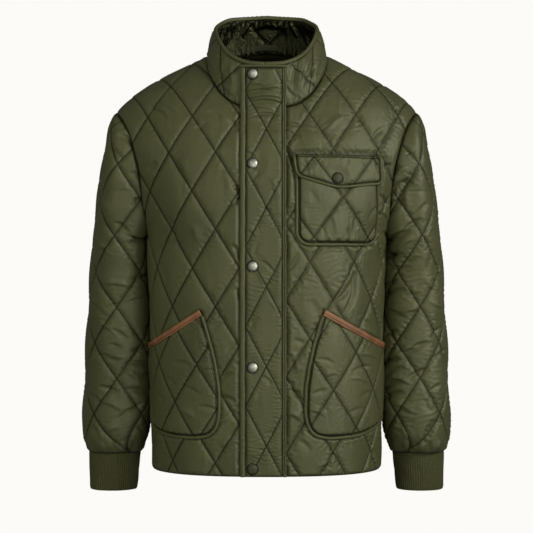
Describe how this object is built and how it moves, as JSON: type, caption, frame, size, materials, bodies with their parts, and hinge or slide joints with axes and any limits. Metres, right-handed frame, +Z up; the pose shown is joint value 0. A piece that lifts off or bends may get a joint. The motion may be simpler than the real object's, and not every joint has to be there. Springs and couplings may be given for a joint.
{
  "type": "quilted jacket",
  "caption": "Quilted jacket with a stand collar, snap placket, patch pockets and rib cuffs, filled out as if worn and hollow inside.",
  "frame": {"origin": "midway between the high points of the two shoulders, at the neck, where a wearer or a hanger holds the jacket", "axes": "+Z up the wearer's spine, +X to the wearer's left, -Y out of the wearer's chest"},
  "size_m": [0.6195, 0.3051, 0.8024],
  "materials": {
    "shell": "olive woven nylon with a slight sheen",
    "lining": "dark olive satin-faced nylon",
    "rib": "dark olive rib knit",
    "leather": "smooth brown leather",
    "metal": "aged nickel cap",
    "painted": "olive painted cap"
  },
  "bodies": {
    "root": {"back": "shell", "front_left": "shell", "front_right": "shell", "sleeve_left": "shell", "sleeve_right": "shell", "cuff_left": "rib", "cuff_right": "rib", "collar": "shell", "collar_lining": "lining", "collar_edge": "shell", "neck_tape": "lining", "placket": "shell", "placket_band_free": "shell", "placket_band_sewn": "shell", "placket_band_top": "shell", "snap_1": "metal", "snap_2": "metal", "snap_3": "metal", "snap_4": "metal", "snap_5": "painted", "chest_pocket": "shell", "chest_pocket_binding": "shell", "chest_flap": "shell", "chest_flap_binding": "shell", "chest_snap": "painted", "pocket_left": "shell", "pocket_piping_left": "shell", "pocket_leather_left": "leather", "pocket_right": "shell", "pocket_piping_right": "shell", "pocket_leather_right": "leather"}
  },
  "joints": []
}
